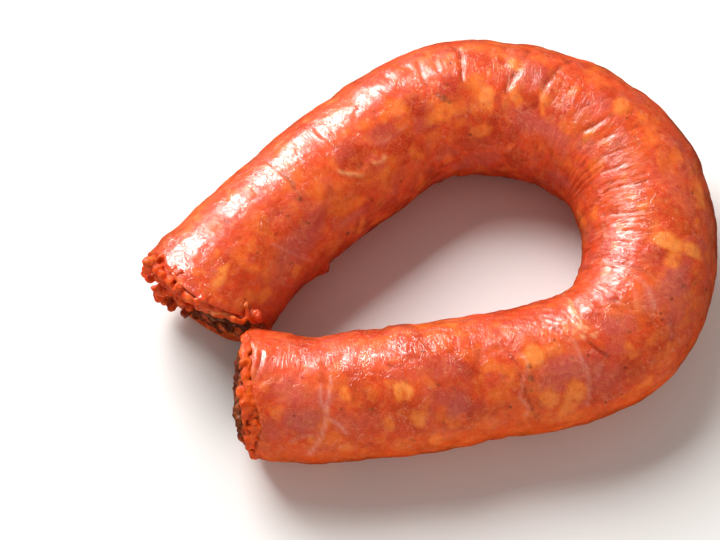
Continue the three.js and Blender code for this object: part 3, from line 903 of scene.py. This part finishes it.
warp = np.stack([vnoise(co, 4.5, 601), vnoise(co, 4.5, 602), vnoise(co, 4.5, 603)], 1)
warp2 = np.stack([vnoise(co, 1.9, 604), vnoise(co, 1.9, 605), vnoise(co, 1.9, 606)], 1)
ws, wa = 1.5 * warp[:, 0] + .5 * warp2[:, 0], 1.5 * warp[:, 1] + .5 * warp2[:, 1]
col = np.tile(PASTE, (nv, 1))
# marbling everywhere: cells of lean, paste and fat seen softly through the casing
f1, f2, cid = cells(co + 1.8 * warp + .7 * warp2, 6.2, 21)
soft = smooth((f2 - f1) / 1.8)
seen = lobe(ang, 90 * DEG, 85 * DEG)          # the side listed patch by patch above
own = 1 - .62 * seen
col = blend(col, DEEPRED, soft * own * .75 * (cid < .22))
col = blend(col, MAUVE, soft * own * .85 * ((cid > .22) & (cid < .44)))
col = blend(col, ORANGE, soft * own * .8 * (cid > .84))
f1b, f2b, cidb = cells(co + 1.2 * warp + 40, 3.1, 27)
softb = smooth((f2b - f1b) / 1.0)
col = blend(col, ORANGE, softb * .45 * (cidb > .86))
col = blend(col, DEEPRED, softb * .35 * (cidb < .16))
col = blend(col, MAUVE, softb * .30 * ((cidb > .3) & (cidb < .4)))
big = fbm(co, 16, 2, 611)
col = blend(col, DEEPRED, .30 * smooth(big * 2))
col = blend(col, ORANGE, .22 * smooth(-big * 2))
col = blend(col, DEEPRED, .72 * patches(q, arc, ws, wa, DEEP, .6))
col = blend(col, MAUVE, .78 * patches(q, arc, ws, wa, LEAN, .6))
fatw = patches(q, arc, ws * .8, wa * .8, FAT, .34) * smooth(1.0 + .7 * vnoise(co, 2.0, 607) + .4 * vnoise(co, 1.0, 608))
col = blend(col, ORANGE, .95 * fatw)
col = blend(col, PALE, .6 * smooth(fatw - .45))
# painted bounce light: low on its sides, underneath and low on the inner side the casing is tinted a deep orange, as if
# lit by warm light thrown up from the floor
bounce_low = smooth((40 - np.abs(ang / DEG)) / 36) * smooth((q - 120) / 40) + .8 * smooth((52 - np.abs(ang / DEG)) / 34) * (1 - smooth((q - 120) / 40))
bounce_under = lobe(ang, -90 * DEG, 70 * DEG)
bounce_inner = smooth((ang / DEG - 160) / 50)
col = blend(col, BOUNCE_ORANGE, .70 * bounce_low + .35 * bounce_under + .25 * bounce_inner)
# fine mottle
mott = .6 * vnoise(co, 2.4, 621) + .5 * vnoise(co, 1.2, 622)
col = col * (1 + .11 * mott)[:, None] ** np.array([1.0, 1.35, 1.5])
# painted shade darkens the creases and a painted highlight lightens the ridges; the threads below are paler in their
# own colour
shade = np.zeros(nv)
ridge_highlight = np.zeros(nv)
for depth, half, crease_shade, path in FOLDS:
    k = near_path(q, arc, path, half * 3)
    if len(k):
        if 94 < path[0][0] < 200:
            crease_shade = crease_shade * .62
        dist, u = path_distance(q[k] + .22 * vnoise(co[k], 2.6, 81), arc[k], path)
        e = smooth(u / .14) * smooth((1 - u) / .14)
        if depth > 0:
            shade[k] = np.maximum(shade[k], crease_shade * e * np.exp(-(dist / (half * .8)) ** 2))
        else:
            ridge_highlight[k] = np.maximum(ridge_highlight[k], .35 * e * np.exp(-(dist / half) ** 2))
# painted shade in the creases
col = blend(col, lin(120, 30, 14), .40 * shade * (1 - .35 * smooth((q - 88) / 8) * smooth((200 - q) / 8)))
# painted highlight on the ridges
col = blend(col, lin(238, 140, 110), .35 * ridge_highlight)
thread = np.zeros(nv)
for height, half, strength, path in THREADS:
    k = near_path(q, arc, path, half * 5)
    if len(k):
        dist, u = path_distance(q[k] + .12 * vnoise(co[k], 1.6, 83), arc[k], path)
        thread[k] = np.maximum(thread[k], strength * smooth(u / .08) * smooth((1 - u) / .08) * np.exp(-(dist / .42) ** 2))
col = blend(col, lin(240, 176, 160), .6 * thread)
strand = np.zeros(nv)
for height, half, strength, path in STRAND:
    k = near_path(q, arc, path, half * 5)
    if len(k):
        dist, u = path_distance(q[k] + .12 * vnoise(co[k], 1.6, 83), arc[k], path)
        strand[k] = np.maximum(strand[k], strength * np.exp(-(dist / max(half, .5)) ** 2))
col = blend(col, lin(252, 196, 140), .8 * strand * smooth(.75 + 1.2 * vnoise(co, 1.5, 778)))
dark = np.zeros(nv)
for ps, pa, r in SPECKS:
    ps, pa = sa(ps, pa)
    d = np.hypot(q - ps + .25 * warp2[:, 0], arc - pa + .25 * warp2[:, 1])
    dark = np.maximum(dark, smooth((r * 1.35 - d) / (r * .8)))
col = blend(col, lin(92, 46, 26), .72 * dark)
ps, pa = sa(54, 113)
lipd, lipu = path_distance(q, arc, LIP)
col = blend(col, lin(250, 180, 120), .75 * np.exp(-(lipd / .6) ** 2) * smooth(lipu / .2) * smooth(.5 + 1.2 * vnoise(co, 1.8, 94)))

edges = np.empty(len(mesh.edges) * 2, np.int32)
mesh.edges.foreach_get("vertices", edges)
ea, ebv = edges[0::2], edges[1::2]
deg = np.bincount(ea, minlength=nv) + np.bincount(ebv, minlength=nv)
vn = np.empty(nv * 3)
mesh.vertices.foreach_get("normal", vn)
vn = vn.reshape(-1, 3)


def spread_out(x):
    """Each vertex's mean of its neighbours' values."""
    return (np.bincount(ea, weights=x[ebv], minlength=nv) + np.bincount(ebv, weights=x[ea], minlength=nv)) / np.maximum(deg, 1)


sm = co.copy()
for _ in range(10):
    sm = np.stack([spread_out(sm[:, k]) for k in range(3)], 1)
cavity = ((sm - co) * vn).sum(1)            # mm the surface lies below its smoothed self
cavity = .5 * cavity + .5 * spread_out(cavity)

# the meat itself, without casing: grainy orange-red with fat, and painted shade in the gaps between grains
g1, g2, gid = cells(co + .3 * warp2, 1.9, 701)
mc = np.tile(MEAT, (nv, 1))
mc = blend(mc, MEATFAT, .75 * (gid > .86) * smooth((g2 - g1) / .5))
mc = blend(mc, lin(176, 42, 12), .7 * (gid < .3))
# painted shade: the edges between grains are darkened as shaded gaps
mc = blend(mc, MEAT_GAP_SHADE, .6 * (1 - smooth((g2 - g1) / .45)))
mc = mc * (1 + .2 * vnoise(co, 2.6, 703))[:, None]
# painted shade: the crevices between the crumbs are darkened
mc = blend(mc, lin(78, 16, 4), smooth(cavity / .19) * .9)
# painted highlight: the raised tops of the crumbs are lightened
mc = blend(mc, lin(248, 106, 34), smooth(-cavity / .45) * .4)
# the broken faces are painted darker and browner towards their middle: partly the meat's own brown, partly painted
# shade; lit marks their painted lit side, which stays orange
face = smooth((RADIUS * .90 - rho) / 2.4) * ((q < 3) | (q > LENGTH - 3))
lit = smooth((ang / DEG + 75) / 50) * smooth((112 - ang / DEG) / 40)
lit = np.maximum(lit, smooth((ang / DEG + 75) / 50) * smooth((158 - ang / DEG) / 16) * smooth((rho - RADIUS * .60) / 1.6)) * (q < 150)
mc = blend(mc, lin(70, 24, 8), .90 * face * (1 - .92 * lit))
# painted light: the lit side of the faces is made a brighter orange
mc = blend(mc, lin(230, 66, 8), .45 * lit * smooth((RADIUS * 1.1 - rho) / 2))
# the front face's outer band is kept bright orange: partly the crumbs' own orange, partly painted light against the
# painted shade inside it
mc = blend(mc, lin(222, 76, 2), .62 * (q > 150) * smooth((rho - RADIUS * .86) / 1.2))
col = col * (1 - meat[:, None]) + mc * meat[:, None]
# painted shade: the hollows of the casing are darkened
col = blend(col, lin(120, 26, 8), .5 * smooth(cavity / .16) * (1 - meat))
# the casing's torn edge is a thin pale line
edge_line = np.exp(-((q - eb - .25) / .40) ** 2) + np.exp(-((LENGTH + ef - q - .25) / .40) ** 2)
col = blend(col, lin(226, 122, 66), .35 * edge_line * (1 - meat) * smooth(.5 + 1.2 * vnoise(co, 3.0, 777)))
tornfold = np.exp(-((q - eb - .2) / .5) ** 2) * smooth((ang / DEG - 118) / 6) * smooth((143 - ang / DEG) / 6) * (q < 20)
col = blend(col, lin(250, 170, 100), .75 * tornfold)
col = np.clip(col, 0, 1)


def attribute(name, kind, values):
    at = mesh.attributes.new(name, kind, "POINT")
    if kind == "FLOAT_COLOR":
        at.data.foreach_set("color", np.hstack([values, np.ones((nv, 1))]).astype(np.float32).ravel())
    else:
        at.data.foreach_set("value", values.astype(np.float32))


attribute("tone", "FLOAT_COLOR", col)
pitted = np.zeros(nv)
for ps, pa, hs, ha, strength in PITS:
    ps, pa = sa(ps, pa)
    r = np.sqrt(((q - ps + ws * .6) / hs) ** 2 + ((arc - pa + wa * .6) / ha) ** 2)
    pitted = np.maximum(pitted, strength * smooth((1.2 - r) / .5))
attribute("meat", "FLOAT", np.maximum(meat, .42 * pitted))
attribute("fat", "FLOAT", np.clip(fatw, 0, 1) * (1 - meat))
bendw = smooth((q - 96) / 30) * smooth((228 - q) / 20) * lobe(ang, 150 * DEG, 70 * DEG)
attribute("wrinkle", "FLOAT", bendw * (1 - meat))
# stretches where the casing has gone dull between the shining ones
dull = .85 * np.exp(-((q - 13.5) / 4.6) ** 4) + .7 * np.exp(-((q - 26) / 2.2) ** 2) + .5 * np.exp(-((q - 84) / 4) ** 2)
dull = dull + .35 * smooth((q - 196) / 6) * np.exp(-((q - 236) / 5) ** 2)
attribute("dull", "FLOAT", np.clip(dull * (1 + .5 * vnoise(co, 3.0, 631)), 0, 1) * (1 - meat))
# unrolled coordinates as a UV map, with its seam under the sausage
uv = mesh.uv_layers.new(name="unrolled")
lu, lv = q[loops] / 100, arc[loops] / 100
face_of = np.repeat(np.arange(len(mesh.polygons))[order], counts[order])
hi = np.zeros(len(mesh.polygons)) - 9
np.maximum.at(hi, face_of, lv)
turn = 2 * math.pi * RADIUS / 100
lv = np.where((hi[face_of] - lv) > turn / 2, lv + turn, lv)
uv.data.foreach_set("uv", np.stack([lu, lv], 1).astype(np.float32).ravel())
mesh.polygons.foreach_set("use_smooth", np.ones(len(mesh.polygons), bool))
mesh.polygons.foreach_set("material_index", np.zeros(len(mesh.polygons), np.int32))
mesh.update()

# =====================================================================
# 6. Material
# =====================================================================
mat = bpy.data.materials.new("cured_meat")
mat.use_nodes = True
nt = mat.node_tree
nt.nodes.clear()


def node(kind, **inputs):
    nd = nt.nodes.new(kind)
    for k, v in inputs.items():
        if k in nd.inputs:
            nd.inputs[k].default_value = v
    return nd


def link(a, b):
    nt.links.new(a, b)


def attr(name):
    nd = nt.nodes.new("ShaderNodeAttribute")
    nd.attribute_name = name
    return nd


def math_node(op, a, b=None, clamp=False):
    nd = nt.nodes.new("ShaderNodeMath")
    nd.operation = op
    nd.use_clamp = clamp
    for i, x in enumerate((a, b)):
        if x is None:
            continue
        if isinstance(x, (int, float)):
            nd.inputs[i].default_value = x
        else:
            link(x, nd.inputs[i])
    return nd.outputs[0]


def ramp(value, lo, hi, out_lo=0.0, out_hi=1.0):
    nd = nt.nodes.new("ShaderNodeMapRange")
    nd.inputs["From Min"].default_value = lo
    nd.inputs["From Max"].default_value = hi
    nd.inputs["To Min"].default_value = out_lo
    nd.inputs["To Max"].default_value = out_hi
    link(value, nd.inputs["Value"])
    return nd.outputs["Result"]


def noise(vector, scale, detail=2.0, rough=.5, distortion=0.0):
    nd = nt.nodes.new("ShaderNodeTexNoise")
    nd.inputs["Scale"].default_value = scale
    nd.inputs["Detail"].default_value = detail
    nd.inputs["Roughness"].default_value = rough
    nd.inputs["Distortion"].default_value = distortion
    link(vector, nd.inputs["Vector"])
    return nd


def voronoi(vector, scale, feature="F1"):
    nd = nt.nodes.new("ShaderNodeTexVoronoi")
    nd.feature = feature
    nd.inputs["Scale"].default_value = scale
    link(vector, nd.inputs["Vector"])
    return nd


def mix_rgb(fac, a, b, mode="MIX"):
    nd = nt.nodes.new("ShaderNodeMix")
    nd.data_type = "RGBA"
    nd.blend_type = mode
    for sock, x in ((nd.inputs[0], fac), (nd.inputs[6], a), (nd.inputs[7], b)):
        if isinstance(x, (int, float, tuple)):
            sock.default_value = x
        else:
            link(x, sock)
    return nd.outputs[2]


bsdf = node("ShaderNodeBsdfPrincipled")
out = nt.nodes.new("ShaderNodeOutputMaterial")
link(bsdf.outputs[0], out.inputs[0])
coords = nt.nodes.new("ShaderNodeTexCoord")
obj = coords.outputs["Object"]
uvn = nt.nodes.new("ShaderNodeUVMap")
uvn.uv_map = "unrolled"
tone, meat_a, fat_a, wr_a = attr("tone"), attr("meat"), attr("fat"), attr("wrinkle")

# colour: the painted tone, broken up by fine marbling, fibres and spice
def warped(amount, scale, detail=2.0):
    nd = noise(obj, scale, detail, .55)
    off = nt.nodes.new("ShaderNodeVectorMath")
    off.operation = "SUBTRACT"
    link(nd.outputs["Color"], off.inputs[0])
    off.inputs[1].default_value = (.5, .5, .5)
    sc = nt.nodes.new("ShaderNodeVectorMath")
    sc.operation = "SCALE"
    link(off.outputs[0], sc.inputs[0])
    sc.inputs["Scale"].default_value = amount
    ad = nt.nodes.new("ShaderNodeVectorMath")
    ad.operation = "ADD"
    link(obj, ad.inputs[0])
    link(sc.outputs[0], ad.inputs[1])
    return ad.outputs[0]


def channel(colour, which):
    nd = nt.nodes.new("ShaderNodeSeparateColor")
    link(colour, nd.inputs[0])
    return nd.outputs[which]


def line(value, half):
    """1 on the thin contour where the value is a half, 0 off it."""
    return ramp(math_node("ABSOLUTE", math_node("SUBTRACT", value, .5)), 0, half, 1, 0)


def times(*xs):
    v = xs[0]
    for x in xs[1:]:
        v = math_node("MULTIPLY", v, x)
    return v


W1 = warped(.0036, 210, 3)
W2 = warped(.0016, 520, 3)
casing = math_node("SUBTRACT", 1.0, meat_a.outputs["Fac"])
base_c = tone.outputs["Color"]
va = voronoi(W1, 330)
ra = channel(va.outputs["Color"], 0)
vb = voronoi(W2, 700)
rb = channel(vb.outputs["Color"], 1)
m1 = noise(W2, 760, 4, .62)
m2 = noise(obj, 2300, 3, .6)
dark_c = mix_rgb(1.0, base_c, (.66, .42, .34, 1), "MULTIPLY")
c = mix_rgb(times(ramp(ra, .17, .12), .15), base_c, dark_c)
c = mix_rgb(times(ramp(ra, .80, .86), .10), c, (.86, .27, .055, 1))
c = mix_rgb(times(ramp(ra, .60, .64), ramp(ra, .76, .72), .14), c, (.56, .11, .075, 1))
c = mix_rgb(times(ramp(rb, .20, .15), .14), c, dark_c)
c = mix_rgb(times(ramp(rb, .80, .86), .11), c, (.90, .33, .09, 1))
c = mix_rgb(ramp(m1.outputs["Fac"], .52, .72, 0, .42), c, dark_c)
c = mix_rgb(ramp(m1.outputs["Fac"], .47, .28, 0, .24), c, (.88, .32, .10, 1))
c = mix_rgb(ramp(m2.outputs["Fac"], .54, .72, 0, .34), c, dark_c)
# thin pale fibres and thin dark veins in the casing
f1n = noise(W2, 260, 3, .5)
f2n = noise(W1, 420, 2, .5)
fibre_mask = ramp(noise(obj, 120, 2, .5).outputs["Fac"], .50, .60)
fibre = times(line(f1n.outputs["Fac"], .016), fibre_mask, casing)
vein = times(line(f2n.outputs["Fac"], .014), ramp(noise(obj, 140, 2, .5).outputs["Fac"], .50, .42), casing)
c = mix_rgb(times(fibre, .42), c, (.86, .40, .27, 1))
c = mix_rgb(times(vein, .42), c, dark_c)
# soft streaks where the casing was drawn round the meat
mapk = nt.nodes.new("ShaderNodeMapping")
mapk.inputs["Scale"].default_value = (.30, 1.0, 1.0)
mapk.inputs["Rotation"].default_value = (0, 0, .5)
link(uvn.outputs["UV"], mapk.inputs["Vector"])
streak = noise(mapk.outputs["Vector"], 620, 3, .6, .7)
c = mix_rgb(times(ramp(streak.outputs["Fac"], .54, .72, 0, .42), casing), c, (.84, .34, .20, 1))
c = mix_rgb(times(ramp(streak.outputs["Fac"], .46, .30, 0, .42), casing), c, dark_c)
# dark specks of pepper and paprika
speck = voronoi(W2, 300)
speck_pick = ramp(channel(speck.outputs["Color"], 2), .80, .82)
speck_in = ramp(speck.outputs["Distance"], .16, .10)
c = mix_rgb(times(speck_pick, speck_in, .62), c, (.13, .03, .012, 1))
link(c, bsdf.inputs["Base Color"])

# gloss: the dried casing is smooth where it is tight, duller over the meat
rn = noise(obj, 260, 3, .55)
rough_c = ramp(rn.outputs["Fac"], .3, .7, .34, .50)
rough = math_node("ADD", rough_c, math_node("MULTIPLY", meat_a.outputs["Fac"], .16))
link(rough, bsdf.inputs["Roughness"])
bsdf.inputs["IOR"].default_value = 1.45
bsdf.inputs["Specular IOR Level"].default_value = .30
bsdf.inputs["Subsurface Weight"].default_value = .14
bsdf.inputs["Subsurface Radius"].default_value = (1.0, .28, .12)
bsdf.inputs["Subsurface Scale"].default_value = .0014
gloss = ramp(noise(obj, 115, 1, .5).outputs["Fac"], .36, .52, .34, 1.0)
pores = ramp(m2.outputs["Fac"], .64, .56, .15, 1.0)
link(times(gloss, pores, ramp(attr("dull").outputs["Fac"], 0, 1, 1.0, .08), ramp(wr_a.outputs["Fac"], 0, .6, 1.0, .80), ramp(meat_a.outputs["Fac"], 0, .6, 1.0, .12)), bsdf.inputs["Coat Weight"])
bsdf.inputs["Coat Roughness"].default_value = .13
bsdf.inputs["Coat IOR"].default_value = 1.85

# relief: fine creases of the dried casing, radial wrinkles on the bend, grain on the meat
mapn = nt.nodes.new("ShaderNodeMapping")
mapn.inputs["Scale"].default_value = (1.0, .26, 1.0)
link(uvn.outputs["UV"], mapn.inputs["Vector"])
wrk = noise(mapn.outputs["Vector"], 105, 3, .6, .5)
wrk2 = noise(mapn.outputs["Vector"], 48, 3, .6, .8)
crease = line(wrk2.outputs["Fac"], .030)
crease2 = line(noise(W1, 210, 3, .6, .4).outputs["Fac"], .026)
fine = noise(obj, 1300, 3, .65)
mid = noise(W2, 520, 2, .5)
grain = noise(obj, 1100, 3, .7)
h = times(fine.outputs["Fac"], .28)
h = math_node("ADD", h, times(mid.outputs["Fac"], .35))
h = math_node("ADD", h, times(crease, casing, -.34))
h = math_node("ADD", h, times(crease2, casing, -.30))
h = math_node("ADD", h, times(fibre, .22))
h = math_node("ADD", h, times(wrk2.outputs["Fac"], casing, .8))
h = math_node("ADD", h, times(wrk.outputs["Fac"], wr_a.outputs["Fac"], 2.2))
h = math_node("ADD", h, times(grain.outputs["Fac"], meat_a.outputs["Fac"], 2.4))
bump = nt.nodes.new("ShaderNodeBump")
bump.inputs["Strength"].default_value = .42
bump.inputs["Distance"].default_value = .00024
link(h, bump.inputs["Height"])
link(bump.outputs["Normal"], bsdf.inputs["Normal"])
bump2 = nt.nodes.new("ShaderNodeBump")
bump2.inputs["Strength"].default_value = .55
bump2.inputs["Distance"].default_value = .00024
h2 = times(mid.outputs["Fac"], .08)
h2 = math_node("ADD", h2, times(crease, casing, -.30))
h2 = math_node("ADD", h2, times(crease2, casing, -.40))
h2 = math_node("ADD", h2, times(wrk2.outputs["Fac"], casing, .38))
h2 = math_node("ADD", h2, times(streak.outputs["Fac"], casing, .12))
h2 = math_node("ADD", h2, times(wrk.outputs["Fac"], wr_a.outputs["Fac"], 1.6))
link(h2, bump2.inputs["Height"])
link(bump2.outputs["Normal"], bsdf.inputs["Coat Normal"])

mesh.materials.clear()
mesh.materials.append(mat)

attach(sausage, "root")
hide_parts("sausage")

# =====================================================================
# 7. Floor, light and camera
# =====================================================================
floor_mesh = bpy.data.meshes.new("floor")
floor_mesh.from_pydata([(-3, -3, -.0002), (3, -3, -.0002), (3, 3, -.0002), (-3, 3, -.0002)], [], [(0, 1, 2, 3)])
floor = make_object("floor", floor_mesh)
fm = bpy.data.materials.new("floor_white")
fm.use_nodes = True
fb = fm.node_tree.nodes["Principled BSDF"]
fb.inputs["Base Color"].default_value = (.84, .84, .84, 1)
fb.inputs["Roughness"].default_value = .9
fb.inputs["Specular IOR Level"].default_value = .1
floor_mesh.materials.append(fm)

scene = bpy.context.scene
world = bpy.data.worlds.new("studio")
scene.world = world
world.use_nodes = True
bg = world.node_tree.nodes["Background"]
bg.inputs["Color"].default_value = (1, .96, .92, 1)
bg.inputs["Strength"].default_value = .24


def area(name, direction, distance, size, power, colour=(1, 1, 1), aim=(0, 0, .015), size_y=None):
    d = Vector(direction).normalized()
    L = bpy.data.lights.new(name, "AREA")
    L.energy = power
    L.color = colour
    L.size = size
    if size_y:
        L.shape = "RECTANGLE"
        L.size_y = size_y
    o = bpy.data.objects.new(name, L)
    o.location = Vector(aim) + d * distance
    o.rotation_euler = (-d).to_track_quat("-Z", "Y").to_euler()
    scene.collection.objects.link(o)
    return o


# the key lights the sausage; the window low behind it makes the highlights
key = area("key", (-.38, .57, .72), 1.0, .60, 15.8, (1, .985, .965))
key.visible_glossy = False
shine = area("shine", (-.50, .71, .50), 1.0, .60, 15.5, (1, .99, .98))
shine.visible_diffuse = False
# the fill and the floor are matt cards: they light the sausage without shining on it
fill = area("fill", (.2, -.85, .20), 1.5, 2.4, 13.0, (1, .90, .76), (0, 0, .015), .7)
behind = area("behind", (-.25, .95, .22), 1.5, 2.4, 7.0, (1, .88, .70), (0, 0, .015), .6)
behind.visible_glossy = False
fill.visible_glossy = False
floor.visible_glossy = False
world.cycles_visibility.glossy = False

cam_data = bpy.data.cameras.new("camera")
cam_data.lens = 100
cam_data.sensor_width = 36
cam_data.clip_start = .01
cam = bpy.data.objects.new("camera", cam_data)
cam.location = Vector((-19.972, -236.063, 507.53)) * MM
aim = Vector((-19.972, .607, 0)) * MM
cam.rotation_euler = (aim - cam.location).to_track_quat("-Z", "Y").to_euler()
scene.collection.objects.link(cam)
scene.camera = cam

scene.view_settings.view_transform = "Standard"
scene.view_settings.look = "None"
